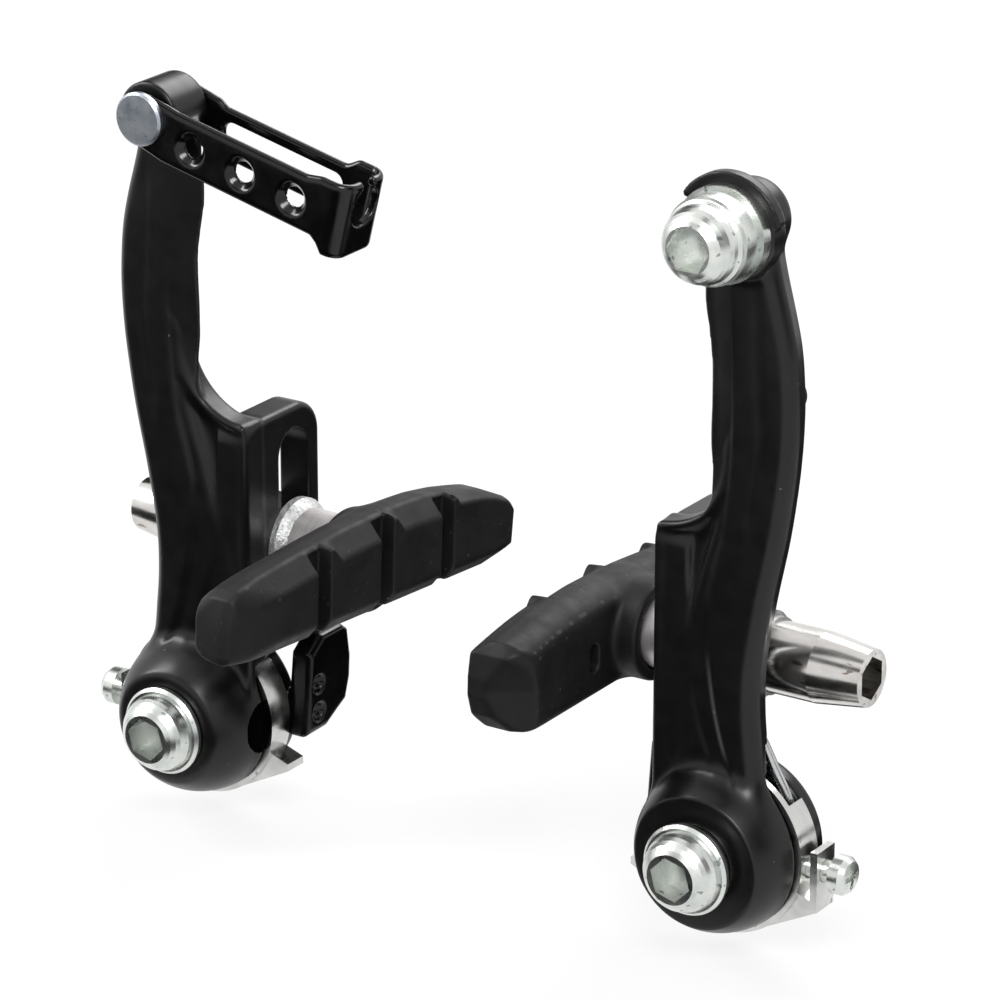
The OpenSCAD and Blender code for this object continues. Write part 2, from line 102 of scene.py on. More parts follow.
def barrel(radial, along, radius, low, high, rounding=0.0):
    # finite cylinder from its distance to the axis and its place along it, with rounded rims
    out = radial - radius + rounding
    off = np.abs(along - (low + high) / 2) - (high - low) / 2 + rounding
    return np.hypot(np.maximum(out, 0), np.maximum(off, 0)) + np.minimum(np.maximum(out, off), 0) - rounding


def brick(a, b, low, high, rounding):
    # rounded rectangle between two corners
    p = np.abs(a - (low[0] + high[0]) / 2) - (high[0] - low[0]) / 2 + rounding
    q = np.abs(b - (low[1] + high[1]) / 2) - (high[1] - low[1]) / 2 + rounding
    return np.hypot(np.maximum(p, 0), np.maximum(q, 0)) + np.minimum(np.maximum(p, q), 0) - rounding


def fieldSurface(field, low, high, pitch):
    # Skin of a solid given by its distance field: one point in each grid cell that the skin
    # crosses, at the mean of the crossings on the cell's edges, and one face across each grid
    # edge that it cuts. The points are then moved along the field's slope onto the skin itself.
    rounds, probe, flattest, longest = 3, pitch * 0.1, 0.05, 0.5 * pitch
    axes = [np.arange(low[i], high[i] + pitch, pitch) for i in range(3)]
    grid = np.meshgrid(*axes, indexing="ij")
    value = field(*grid).astype(np.float32)
    inside = value < 0
    cells = tuple(n - 1 for n in value.shape)
    count = np.zeros(cells, np.float32)
    place = np.zeros(cells + (3,), np.float32)
    cuts = []
    for axis in range(3):
        one, two = [slice(None)] * 3, [slice(None)] * 3
        one[axis], two[axis] = slice(0, -1), slice(1, None)
        a, b = value[tuple(one)], value[tuple(two)]
        crossed = inside[tuple(one)] != inside[tuple(two)]
        share = np.where(crossed, a / np.where(crossed, a - b, 1), 0)
        cuts.append((crossed, inside[tuple(one)]))
        others = [i for i in range(3) if i != axis]
        for first in (0, 1):
            for second in (0, 1):
                part = [slice(None)] * 3
                part[axis] = slice(0, cells[axis])
                part[others[0]] = slice(first, first + cells[others[0]])
                part[others[1]] = slice(second, second + cells[others[1]])
                hit = crossed[tuple(part)]
                count += hit
                place[..., axis] += np.where(hit, share[tuple(part)], 0)
                place[..., others[0]] += hit * first
                place[..., others[1]] += hit * second
    used = count > 0
    number = np.full(cells, -1, np.int64)
    number[used] = np.arange(int(used.sum()))
    base = np.stack(np.nonzero(used), axis=1)
    points = np.array(low) + (base + place[used] / count[used][:, None]) * pitch
    faces = []
    for axis in range(3):
        crossed, starts = cuts[axis]
        b, c = [(1, 2), (2, 0), (0, 1)][axis]
        at = np.stack(np.nonzero(crossed), axis=1)
        at = at[(at[:, b] > 0) & (at[:, c] > 0) & (at[:, b] < cells[b]) & (at[:, c] < cells[c])]
        ring = []
        for moveB, moveC in ((-1, -1), (0, -1), (0, 0), (-1, 0)):
            cell = at.copy()
            cell[:, b] += moveB
            cell[:, c] += moveC
            ring.append(number[tuple(cell.T)])
        ring = np.stack(ring, axis=1)
        outward = starts[tuple(at.T)]
        faces.append(np.where(outward[:, None], ring, ring[:, ::-1]))
    faces = np.concatenate(faces)
    for _ in range(rounds):
        here = field(*points.T)
        slope = np.stack([(field(*(points + nudge).T) - field(*(points - nudge).T)) / (2 * probe)
                          for nudge in probe * np.eye(3)], axis=1)
        size = np.maximum((slope**2).sum(axis=1), flattest)
        move = slope * (here / size)[:, None]
        length = np.linalg.norm(move, axis=1)
        points = points - move * np.minimum(1, longest / np.maximum(length, 1e-9))[:, None]
    return points, faces


def wallFaces(rows, columns):
    # quads between neighbouring rings of points, each ring closed on itself
    i = np.arange(rows - 1)[:, None]
    j = np.arange(columns)[None, :]
    near, far, jNext = i * columns, (i + 1) * columns, (j + 1) % columns
    quads = np.stack(np.broadcast_arrays(near + j, far + j, far + jNext, near + jNext), axis=-1)
    return quads.reshape(-1, 4)


def addPiece(name, points, faces):
    # points come in millimetres and the mesh is kept in metres
    mesh = bpy.data.meshes.new(name)
    faces = np.asarray(faces)
    mesh.vertices.add(len(points))
    metres = np.asarray(points, dtype=np.float64) * 0.001
    mesh.vertices.foreach_set("co", metres.astype(np.float32).ravel())
    mesh.loops.add(faces.size)
    mesh.loops.foreach_set("vertex_index", faces.astype(np.int32).ravel())
    mesh.polygons.add(len(faces))
    mesh.polygons.foreach_set("loop_start", np.arange(0, faces.size, faces.shape[1], dtype=np.int32))
    mesh.update(calc_edges=True)
    mesh.validate()
    mesh.polygons.foreach_set("use_smooth", np.ones(len(mesh.polygons), bool))
    piece = bpy.data.objects.new(name, mesh)
    bpy.context.scene.collection.objects.link(piece)
    return piece


def onSide(points, faces, sign):
    # from the drawing of one side, pivot at the origin and outwards along +X, to its place
    placed = np.array(points, dtype=np.float64)
    placed[:, 0] = sign * (pair["pivotX"] + placed[:, 0])
    return placed, (faces if sign > 0 else np.asarray(faces)[:, ::-1])


# finishes

def addFinish(name, settings):
    # One procedural finish: colour between two tones by noise, dust where the noise is high and a
    # painted highlight (a lighter colour) where the surface sticks out, roughness and bump from noise at
    # their own scales.
    material = bpy.data.materials.new(name)
    material.use_nodes = True
    nodes, links = material.node_tree.nodes, material.node_tree.links
    surface = nodes["Principled BSDF"]
    surface.inputs["Metallic"].default_value = settings.get("metal", 0.0)
    surface.inputs["Specular IOR Level"].default_value = settings.get("specular", 0.5)
    place = nodes.new("ShaderNodeTexCoord")
    stretch = nodes.new("ShaderNodeMapping")
    stretch.inputs["Scale"].default_value = settings.get("stretch", (1, 1, 1))
    links.new(place.outputs["Object"], stretch.inputs["Vector"])

    def noise(scale, detail=3.0, roughness=0.55):
        node = nodes.new("ShaderNodeTexNoise")
        node.inputs["Scale"].default_value = scale
        node.inputs["Detail"].default_value = detail
        node.inputs["Roughness"].default_value = roughness
        links.new(stretch.outputs["Vector"], node.inputs["Vector"])
        return node.outputs["Fac"]

    def ramp(source, low, high, lowColour, highColour):
        node = nodes.new("ShaderNodeValToRGB")
        node.color_ramp.elements[0].position = low
        node.color_ramp.elements[1].position = high
        node.color_ramp.elements[0].color = (*lowColour, 1)
        node.color_ramp.elements[1].color = (*highColour, 1)
        links.new(source, node.inputs["Fac"])
        return node.outputs["Color"]

    def blendColours(share, one, two):
        node = nodes.new("ShaderNodeMix")
        node.data_type = "RGBA"
        links.new(share, node.inputs["Factor"])
        links.new(one, node.inputs["A"])
        node.inputs["B"].default_value = (*two, 1)
        return node.outputs["Result"]

    tone = noise(settings.get("toneScale", 180))
    colour = ramp(tone, 0.32, 0.68, settings["dark"], settings["light"])
    if "specks" in settings:
        grain = noise(settings.get("speckScale", 2600), 1.0)
        specks = ramp(grain, settings["specks"], settings["specks"] + 0.02, (0, 0, 0), (1, 1, 1))
        colour = blendColours(specks, colour, settings["speckColour"])
    # painted highlight: edges that stick out, where pointiness is high, are coloured lighter than the rest
    if "paintedEdgeHighlight" in settings:
        shape = nodes.new("ShaderNodeNewGeometry")
        edges = ramp(shape.outputs["Pointiness"], *settings["paintedEdgeHighlight"], (0, 0, 0), (1, 1, 1))
        colour = blendColours(edges, colour, settings["paintedEdgeHighlightColour"])
    links.new(colour, surface.inputs["Base Color"])
    low, high = settings["roughness"]
    rough = nodes.new("ShaderNodeMapRange")
    rough.inputs["From Min"].default_value = 0.3
    rough.inputs["From Max"].default_value = 0.7
    rough.inputs["To Min"].default_value = low
    rough.inputs["To Max"].default_value = high
    links.new(noise(settings.get("roughScale", 420)), rough.inputs["Value"])
    links.new(rough.outputs["Result"], surface.inputs["Roughness"])
    bump = nodes.new("ShaderNodeBump")
    bump.inputs["Strength"].default_value = settings["bump"]
    bump.inputs["Distance"].default_value = settings.get("bumpDepth", 0.00005)
    links.new(noise(settings.get("bumpScale", 2200), 2.0), bump.inputs["Height"])
    links.new(bump.outputs["Normal"], surface.inputs["Normal"])
    return material


finishes = {
    "armPaint": addFinish("armPaint", {
        "dark": (0.0016, 0.0016, 0.0018), "light": (0.0032, 0.0031, 0.0033), "roughness": (0.3, 0.38),
        "specular": 0.36, "bump": 0.1, "bumpScale": 1500, "bumpDepth": 0.00003,
        "specks": 0.8, "speckScale": 1400, "speckColour": (0.08, 0.08, 0.08),
        # painted highlight: lighter grey along the arm's edges and crests that stick out
        "paintedEdgeHighlight": (0.6, 0.8), "paintedEdgeHighlightColour": (0.02, 0.02, 0.02)}),
    "linkPaint": addFinish("linkPaint", {
        "dark": (0.001, 0.001, 0.0011), "light": (0.0022, 0.0022, 0.0024), "roughness": (0.14, 0.22),
        "specular": 0.4, "bump": 0.1, "bumpScale": 700, "bumpDepth": 0.00003,
        # painted highlight: lighter grey along the link's edges that stick out
        "paintedEdgeHighlight": (0.58, 0.75), "paintedEdgeHighlightColour": (0.02, 0.02, 0.021)}),
    "boltZinc": addFinish("boltZinc", {
        "metal": 1.0, "dark": (0.58, 0.61, 0.59), "light": (0.76, 0.78, 0.74), "roughness": (0.24, 0.34),
        "toneScale": 320, "bump": 0.12, "bumpScale": 1900, "bumpDepth": 0.00003,
        "specks": 0.7, "speckScale": 900, "speckColour": (0.3, 0.33, 0.33)}),
    "bracketPlate": addFinish("bracketPlate", {
        "metal": 1.0, "dark": (0.5, 0.51, 0.5), "light": (0.72, 0.72, 0.69), "roughness": (0.14, 0.26),
        "bump": 0.2, "bumpScale": 400, "bumpDepth": 0.00008,
        "specks": 0.68, "speckScale": 700, "speckColour": (0.36, 0.36, 0.34)}),
    "bushingSteel": addFinish("bushingSteel", {
        "metal": 1.0, "dark": (0.4, 0.4, 0.4), "light": (0.52, 0.52, 0.52), "roughness": (0.28, 0.38),
        "stretch": (1, 30, 1), "bump": 0.15, "specks": 0.7, "speckColour": (0.25, 0.25, 0.25)}),
    "retainerPlastic": addFinish("retainerPlastic", {
        "dark": (0.0015, 0.0015, 0.0015), "light": (0.003, 0.003, 0.003), "roughness": (0.12, 0.3),
        "roughScale": 160, "specular": 0.3, "bump": 0.1, "bumpScale": 600,
        # painted highlight: lighter grey along the ring's edges that stick out
        "paintedEdgeHighlight": (0.58, 0.75), "paintedEdgeHighlightColour": (0.02, 0.02, 0.02)}),
    "springWire": addFinish("springWire", {
        "metal": 1.0, "dark": (0.42, 0.43, 0.44), "light": (0.58, 0.59, 0.6), "roughness": (0.2, 0.32),
        "bump": 0.1, "specks": 0.7, "speckColour": (0.3, 0.29, 0.28)}),
    "pegPlastic": addFinish("pegPlastic", {
        "dark": (0.003, 0.003, 0.003), "light": (0.006, 0.006, 0.006), "roughness": (0.36, 0.46),
        "specular": 0.3, "bump": 0.1, "specks": 0.72, "speckColour": (0.02, 0.02, 0.02)}),
    "padRubber": addFinish("padRubber", {
        "dark": (0.004, 0.0039, 0.0039), "light": (0.0085, 0.0081, 0.008), "roughness": (0.48, 0.62),
        "specular": 0.26, "toneScale": 130, "bump": 0.3, "bumpScale": 1300, "bumpDepth": 0.00006,
        "specks": 0.76, "speckScale": 1700, "speckColour": (0.06, 0.06, 0.06),
        # painted highlight: lighter grey along the pad's edges and facets that stick out
        "paintedEdgeHighlight": (0.53, 0.64), "paintedEdgeHighlightColour": (0.035, 0.034, 0.034)}),
    "studSteel": addFinish("studSteel", {
        "metal": 1.0, "dark": (0.42, 0.42, 0.42), "light": (0.56, 0.56, 0.56), "roughness": (0.2, 0.32),
        "bump": 0.1, "specks": 0.7, "speckColour": (0.28, 0.28, 0.28)}),
    "washerGrey": addFinish("washerGrey", {
        "metal": 0.8, "dark": (0.36, 0.37, 0.37), "light": (0.62, 0.62, 0.61), "roughness": (0.42, 0.58),
        "toneScale": 1300, "bump": 0.9, "bumpScale": 2200, "bumpDepth": 0.00015,
        "specks": 0.66, "speckScale": 2400, "speckColour": (0.2, 0.22, 0.23)}),
    "spacerAlu": addFinish("spacerAlu", {
        "metal": 0.8, "dark": (0.56, 0.53, 0.53), "light": (0.68, 0.65, 0.65), "roughness": (0.36, 0.46),
        "stretch": (20, 1, 1), "bump": 0.15, "specks": 0.72, "speckColour": (0.35, 0.33, 0.33)}),
    "nutBright": addFinish("nutBright", {
        "metal": 1.0, "dark": (0.56, 0.54, 0.52), "light": (0.8, 0.78, 0.76), "roughness": (0.14, 0.24),
        "toneScale": 150, "stretch": (0.6, 2, 2), "bump": 0.12, "bumpScale": 300, "bumpDepth": 0.0001,
        "specks": 0.68, "speckScale": 500, "speckColour": (0.3, 0.24, 0.2)}),
    "pinSteel": addFinish("pinSteel", {
        "metal": 1.0, "dark": (0.3, 0.33, 0.37), "light": (0.44, 0.47, 0.51), "roughness": (0.34, 0.46),
        "toneScale": 500, "bump": 0.25, "bumpScale": 1600, "specks": 0.7, "speckColour": (0.2, 0.22, 0.25)}),
}

# which finish each CAD node takes
nodeFinishes = {
    "pivot_bushing": "bushingSteel", "pivot_bolt": "boltZinc", "spring_bracket": "bracketPlate",
    "spring_retainer": "retainerPlastic", "spring_peg": "pegPlastic", "tension_screw": "boltZinc",
    "pad_stud": "studSteel", "inner_dished_washer": "washerGrey", "inner_spacer": "spacerAlu",
    "outer_dished_washer": "washerGrey", "outer_spacer": "washerGrey", "lock_washer": "studSteel",
    "pad_nut": "nutBright",
}
singleFinishes = {
    "guide_link": "linkPaint", "link_pin": "pinSteel", "anchor_bolt": "boltZinc", "anchor_washer": "boltZinc",
}


def dress(node, finish):
    # every material place of a CAD node's mesh takes the finish
    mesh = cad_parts[node].data
    if not mesh.materials:
        mesh.materials.append(finishes[finish])
    for i in range(len(mesh.materials)):
        mesh.materials[i] = finishes[finish]


for side in sides:
    for part, finish in nodeFinishes.items():
        dress(f"{side}_{part}", finish)
for node, finish in singleFinishes.items():
    dress(node, finish)
print("finishes made")

# arms: cast and painted, drawn for one side with the pivot at the origin and outwards along +X
arm = {
    "pitch": 0.3, "low": (-10.2, -17.6, -11.4), "high": (12.4, 7.7, 90.4),
    "front": -10.7, "back": -5.3, "foot": 2, "neck": 81.5,
    "lean": 0.16, "outerTaper": 0.62,
    # raised and sunk amounts of the front face
    "bevel": 0.34, "softDepth": 0.16, "panelDepth": 0.3, "crown": 0.45,
    "dome": 10.8, "bore": 5.06, "bracketRoom": 12.4,
    "web": ((-9, -9.7), (4, -5.7)), "webHeights": (5, 60),
    "hollow": (-9.2, 52.3), "hollowRadius": 10.5, "hollowFlare": 0.12,
    "pocketEdge": 1.5, "pocketInner": -7.9, "pocketFloor": -8.7, "pocketTop": 46,
    "lug": ((-9.5, 0), (7.2, 41.6)), "lugCorner": (2.4, 36.8), "lugRound": 4.8, "lugFaces": (-9.1, -4.42),
    "slotMiddle": 26.2, "slotReach": 9.0, "slotRadius": 3.3,
    "grooveHalf": 1.0, "grooveFloor": -7.15, "grooveHeights": (8, 54),
    # upper ends: front, radius and hole, and the lip over the anchor's washer
    "bossFront": -14.4, "bossRadius": 6.2, "bossHole": 3.06, "crownAt": 2.5, "crownRadius": 4.8,
    "lipFront": -16.6, "lipRadii": (6.35, 7.3), "lipAngles": (12, 150),
    "knuckleFront": -12.2, "knuckleBack": -5.2, "knuckleRadius": 4.4, "knuckleHole": 1.66, "knuckleFrom": 74,
    # places and amounts against height
    "outerEdge": [(0, 8.8), (5.7, 8.2), (9, 7.1), (13.1, 6.1), (19.3, 5.3), (25.4, 5.35), (33.6, 6.6),
                  (41, 8.1), (45.9, 8.9), (52.5, 9.7), (58.2, 9.95), (62.3, 9.8), (66.4, 9.4),
                  (70.5, 8.6), (77.1, 7.1), (82, 6.6)],
    "innerEdge": [(0, -8.4), (5.7, -7.2), (9, -6), (14.8, -5.2), (23, -5), (27.9, -4.8), (36.1, -2.6),
                  (42.6, -1.1), (49.2, -0.9), (53.3, -1.3), (63.1, -1.3), (67.2, -1.8), (71.3, -2.5),
                  (77.9, -2.6), (82, -2.4)],
    "innerSpread": [(20, 0), (34, 0.2), (45, 1.2), (66, 1.3), (72, 1.2), (76, 0.8), (82, 0.3)],
    "outerSpread": [(8, 0), (16, 0.6), (40, 0.8), (66, 0.9), (76, 0.5), (82, 0.1)],
    "innerTaper": [(20, 0.5), (34, 0.6), (46, 1.1), (54, 1.5), (70, 1.6), (78, 1.3), (82, 0.6)],
    "crease": [(6, 6.0), (7.2, 5.2), (8.8, 3.8), (13.8, 1.6), (19.3, 0.1), (25.5, -0.9), (30, -1.3),
               (33.3, -1.3), (37.2, -0.5), (43.2, 1.0), (54, 2.2), (65, 2.3), (75.6, 1.8), (82, 1.6)],
    "creaseDrop": [(6, 0.0), (9, 0.45), (14, 0.6), (40, 0.6), (52, 0.35), (60, 0.1), (74, 0.0)],
    "midRidge": [(16, -9.5), (20, -7.8), (25, -6.2), (30.2, -4.9), (35.9, -3.3), (40.8, -1.6),
                 (46.5, 0.0), (50, 1.0), (54, 1.6)],
    "softLine": [(40, 4.7), (46, 5.0), (55, 6.1), (64, 5.5), (73.5, 5.2)],
    "panelSide": [(9, -0.2), (11, -0.2), (15.4, -1.9), (19.9, -3.3), (21.5, -3.7), (23.2, -5.2), (24, -8)],
    "legSide": [(0, 8.2), (6, 7.9), (12, 5.4), (18, 3.2), (26, 2.1), (42, 2.6), (59, 3.6), (64.5, 3.9),
                (67, 2.7)],
}


def beamField(u, y, z):
    # Rounded section between the beam's two edges. Its flanks lean in towards the back, and its
    # front has the crease's drop, a bevel, a soft line, a sunk panel and a slight crown.
    middle = (arm["front"] + arm["back"]) / 2
    depth = (arm["back"] - arm["front"]) / 2
    low = curve(arm["innerEdge"], z) - curve(arm["innerSpread"], z)
    high = curve(arm["outerEdge"], z) + curve(arm["outerSpread"], z)
    centre, half = (low + high) / 2, (high - low) / 2
    across = (u - centre) / half
    crease = curve(arm["crease"], z)
    frontness = step(middle - y, 3.0)
    drop = curve(arm["creaseDrop"], z) * step(crease - u, 1.3)
    bevel = arm["bevel"] * np.maximum(crease - u, 0) * step(z - 46, 14)
    line = np.exp(-((u - curve(arm["softLine"], z)) / 0.8) ** 2)
    soft = arm["softDepth"] * line * step(z - 42, 6) * step(74 - z, 6)
    panel = step(curve(arm["panelSide"], z) - u, 1.6) * step(u + 6.9, 1.4) * step(z - 9.5, 1.6)
    shifted = y - frontness * (drop + bevel + soft + arm["panelDepth"] * panel + arm["crown"] * across**2)
    share = np.clip((shifted - middle) / depth, -1.3, 1.3)
    rounding = 1.3 + 1.1 * step(across, 1.6) * frontness
    lean = arm["lean"] + arm["lean"] * share
    inwards = low + lean * 2 * half * curve(arm["innerTaper"], z) - u
    outwards = u - high + lean * half * arm["outerTaper"]
    out = np.maximum(inwards, outwards) + rounding
    off = np.abs(shifted - middle) - depth + rounding
    return np.hypot(np.maximum(out, 0), np.maximum(off, 0)) + np.minimum(np.maximum(out, off), 0) - rounding


def anchorEnd(body, u, y, z):
    # boss for the anchor bolt, crowned behind, its lip over the washer, the hole and a flat seat
    top = np.hypot(u - pair["lean"], z - pair["armHeight"])
    boss = barrel(top, y, arm["bossRadius"], arm["bossFront"], -11, 0.5)
    behind = np.hypot(u - arm["crownAt"], z - pair["armHeight"])
    crown = barrel(behind, y, arm["crownRadius"], -11.5, arm["back"], 1.4)
    body = join(join(body, crown, 1.0), boss, 2.0)
    turned = np.degrees(np.arctan2(z - pair["armHeight"], u - pair["lean"]))
    inner, outer = arm["lipRadii"]
    first, last = arm["lipAngles"]
    lip = np.maximum(barrel(top, y, outer, arm["lipFront"], -12.5, 0.5), inner - top)
    lip = meet(lip, np.maximum(first - turned, turned - last) * 0.11, 0.8)
    body = join(body, lip, 0.7)
    body = carve(body, top - arm["bossHole"], 0.3)
    return np.maximum(body, np.minimum(arm["bossFront"] - 0.02 - y, 6.25 - top + 100 * (top > 6.3)))


def linkEnd(body, u, y, z):
    # knuckle between the link's cheeks, cut flat at both faces, and the pin's hole
    top = np.hypot(u - pair["lean"], z - pair["armHeight"])
    front, back = arm["knuckleFront"], arm["knuckleBack"]
    body = join(body, barrel(top, y, arm["knuckleRadius"], front, back, 0.35), 1.2)
    body = np.where(z > arm["knuckleFrom"], np.maximum(body, np.maximum(front - y, y - back)), body)
    return carve(body, top - arm["knuckleHole"], 0.25)


def armField(u, y, z, anchor):
    # Distance to the arm's skin: the beam is joined with fillets to the pivot dome, the web, the
    # slotted lug and the upper end, and then the bracket's room, the slot, the bore and the
    # spring's groove are taken out.
    body = meet(beamField(u, y, z), np.maximum(z - arm["neck"], arm["foot"] - z), 0.6)

    reach = np.hypot(u, z)
    ball = np.sqrt(u**2 + (y - pair["hubBack"])**2 + z**2) - arm["dome"]
    dome = meet(meet(ball, pair["seatY"] + 0.2 - y, 0.5), y - pair["hubBack"], 0.4)
    body = join(body, dome, 2.2)

    above = z - arm["hollow"][1]
    hollow = np.hypot(u - arm["hollow"][0], np.minimum(above, 0)) - arm["hollowRadius"]
    hollow = hollow - arm["hollowFlare"] * np.maximum(above, 0)**2
    low, high = arm["webHeights"]
    web = np.maximum(brick(u, y, *arm["web"], 0.5), np.maximum(z - high, low - z))
    web = meet(web, -hollow, 0.9)
    pocket = meet(arm["pocketEdge"] - hollow, u - curve(arm["midRidge"], z), 1.6)
    pocket = meet(pocket, meet(arm["pocketInner"] - u, y - arm["pocketFloor"], 0.8), 1.6)
    pocket = meet(pocket, z - arm["pocketTop"], 0.8)
    body = join(body, web, 1.1)
    body = carve(body, pocket, 1.6)

    cornerY, cornerZ = arm["lugCorner"]
    plan = brick(y, z, *arm["lug"], 0.0)
    rounded = np.hypot(np.maximum(y - cornerY, 0), np.maximum(z - cornerZ, 0)) - arm["lugRound"]
    plan = np.maximum(plan, np.where((y > cornerY) & (z > cornerZ), rounded, -9))
    plan = meet(plan, (-6.2 - y) * 0.45 + (z - 41.8) * 0.89, 1.2)
    inner, outer = arm["lugFaces"]
    lug = meet(meet(plan, inner - u, 0.9), u - outer, 0.7)
    body = join(body, lug, 0.9)
    body = anchorEnd(body, u, y, z) if anchor else linkEnd(body, u, y, z)

    body = carve(body, meet(reach - arm["bracketRoom"], pair["hubBack"] - y, 0.3), 0.5)
    along = np.maximum(np.abs(z - arm["slotMiddle"]) - arm["slotReach"], 0)
    slot = np.hypot(y - pair["slotY"], along) - arm["slotRadius"]
    body = carve(body, np.maximum(slot, u + 3), 0.12)
    body = carve(body, reach - arm["bore"], 0.3)
    groove = np.abs(u - curve(arm["legSide"], z)) - arm["grooveHalf"]
    low, high = arm["grooveHeights"]
    groove = meet(np.maximum(groove, np.maximum(z - high, low - z)), arm["grooveFloor"] - y, 0.3)
    return carve(body, groove, 0.25)


for side, sign in sides.items():
    anchor = side == "right"
    points, faces = fieldSurface(lambda u, y, z: armField(u, y, z, anchor), arm["low"], arm["high"],
                                 arm["pitch"])
    piece = addPiece(f"{side}_arm_casting", *onSide(points, faces, sign))
    piece.data.materials.append(finishes["armPaint"])
    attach(piece, f"{side}_arm")
    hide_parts(f"{side}_arm")
print("arms made")

# pads: moulded rubber, the long end in front on the left side and behind on the right
pad = {
    "pitch": 0.22, "boxLow": (-8.0, -34.4, -7.6), "boxHigh": (4.6, 34.4, 8.2),
    "face": -7.4, "parting": -5.0, "plateau": 0.6, "seat": 11.65,
    "bossRadius": 6.6, "spacerRoom": 5.2, "studHole": 3.02, "studDepth": 3.05,
    "hole": (-10.5, -1.2), "holeRadius": 1.05, "holeDepth": 3.2,
    "left": {
        "outline": [(-33.4, -4.4), (-32.6, -5.4), (21, -5.4), (26.1, -3.4), (26.5, 1.4), (25, 3.4),
                    (20.9, 5.2), (14.2, 6.6), (9, 7.2), (1, 7.4), (-8.6, 6.9), (-19.7, 5.8), (-26.3, 5),
                    (-30.2, 4.2), (-31.7, 3.2), (-32.8, -0.2), (-33.3, -3)],
        "top": [(-34, 3), (-30.2, 4.2), (-26.3, 5), (-19.7, 5.8), (-8.6, 6.9), (1, 7.4), (9, 7.2),
                (14.2, 6.6), (20.9, 5.6), (27, 3.4)],
        "low": -5.4, "nose": -33.2, "blunt": 26.3, "boss": 1.2,
    },
    "right": {
        "outline": [(-27.6, -2), (-26.8, -4.6), (-25.4, -6.5), (-22, -7), (24, -7), (31, -6), (33, -4.4),
                    (33.2, -2), (32, 0), (28, 1.8), (22, 3.6), (12, 5.4), (2, 6.4), (-8, 6.8), (-13, 6.6),
                    (-18.7, 6.1), (-25.5, 5), (-26.9, 3.6), (-27.5, 0.5)],
        "top": [(-28, 4.4), (-25.5, 5), (-18.7, 6.1), (-13, 6.6), (-8, 6.8), (2, 6.4), (12, 5.4),
                (22, 3.6), (28, 1.8), (33, 0)],
        "low": -7.0, "nose": 33.2, "blunt": -27.4, "boss": 4.0,
    },
    # along the rim from the nose's end, for the left pad; the right one's run the other way
    "grooves": (-15.2, -1.9, 11.4), "grooveWide": 2.7, "grooveDeep": 2.3,
}


def outlineField(y, z, corners):
    # signed distance to a closed outline in a plane
    corners = np.array(corners, dtype=np.float64)
    away = np.full(np.shape(y), np.inf)
    inside = np.zeros(np.shape(y), bool)
    for (y0, z0), (y1, z1) in zip(corners, np.roll(corners, -1, axis=0)):
        t = np.clip(((y - y0) * (y1 - y0) + (z - z0) * (z1 - z0)) / ((y1 - y0)**2 + (z1 - z0)**2), 0, 1)
        away = np.minimum(away, np.hypot(y - y0 - t * (y1 - y0), z - z0 - t * (z1 - z0)))
        if z0 != z1:
            inside ^= ((z0 > z) != (z1 > z)) & (y < y0 + (z - z0) * (y1 - y0) / (z1 - z0))
    return np.where(inside, -away, away)


def padField(w, y, z, shape):
    # Distance to a pad's skin; w runs from the braking face to the back at 0. The outline is cut
    # by the face, by a band sloping from the face up to the parting line over each block, by the
    # nose's and the blunt end's facets, the lower chamfer and the rounding of the back, then
    # three grooves, the oval hole and the stud's hole are taken out.
    turned = 1.0 if shape["nose"] < 0 else -1.0
    along = y * turned
    top = curve(shape["top"], y)
    slab = outlineField(y, z, shape["outline"])
    slab = meet(slab, pad["face"] - w, 0.6)
    drop = np.full(np.shape(y), 2.7)
    for middle in pad["grooves"]:
        start = middle + pad["grooveWide"] / 2
        drop = np.where(along > start, 0.25 + 2.4 * step(along - start - 1.4, 2.8), drop)
    drop = np.where(along > pad["grooves"][2] + pad["grooveWide"], np.minimum(drop, 1.3), drop)
    reach = pad["parting"] - pad["face"]
    band = ((pad["parting"] - w) * drop + (z - top) * reach) / np.hypot(drop, reach)
    slab = meet(slab, band, 0.35)
    slab = meet(slab, (pad["parting"] - w - (along + abs(shape["nose"])) * 0.41) * 0.92, 1.6)
    slab = meet(slab, (pad["face"] - w + (shape["low"] + 1.95 - z) * 0.77) * 0.79, 0.4)
    behind = w - pad["parting"]
    blunt = abs(shape["blunt"]) + 0.3 - 0.72 * behind + 0.3 * np.maximum(z + 1, 0)
    slab = meet(slab, (along - blunt) * 0.8, 0.5)
    nose = -abs(shape["nose"]) - 0.2 + 0.28 * behind
    slab = meet(slab, (nose - along) * 0.95, 1.4)
    slab = meet(slab, (w - pad["plateau"] + z - top + 2.0) * 0.7, 1.4)
    slab = meet(slab, (w - pad["plateau"] - z + shape["low"] + 1.2) * 0.7, 0.8)
    slab = meet(slab, w - pad["plateau"], 0.5)
    boss = barrel(np.hypot(y, z + 0.2), w, pad["bossRadius"], -4, shape["boss"], 0.6)
    boss = meet(boss, z - top - 0.1, 0.6)
    slab = join(slab, boss, 1.2)
    slab = carve(slab, np.maximum(np.hypot(y, z) - pad["spacerRoom"], -w), 0.2)
    wide = pad["grooveWide"] / 2
    for middle in pad["grooves"]:
        groove = brick(along - middle, w - pad["face"], (-wide, -3), (wide, pad["grooveDeep"]), 0.3)
        slab = carve(slab, meet(groove, z - top + 0.7, 0.3), 0.35)
    tall = np.maximum(np.abs(z - pad["hole"][1]) - 0.9, 0)
    hole = np.hypot(y - pad["hole"][0], tall) - pad["holeRadius"]
    slab = carve(slab, np.maximum(hole, -pad["holeDepth"] - w), 0.3)
    return carve(slab, np.maximum(np.hypot(y, z) - pad["studHole"], -pad["studDepth"] - w), 0.2)


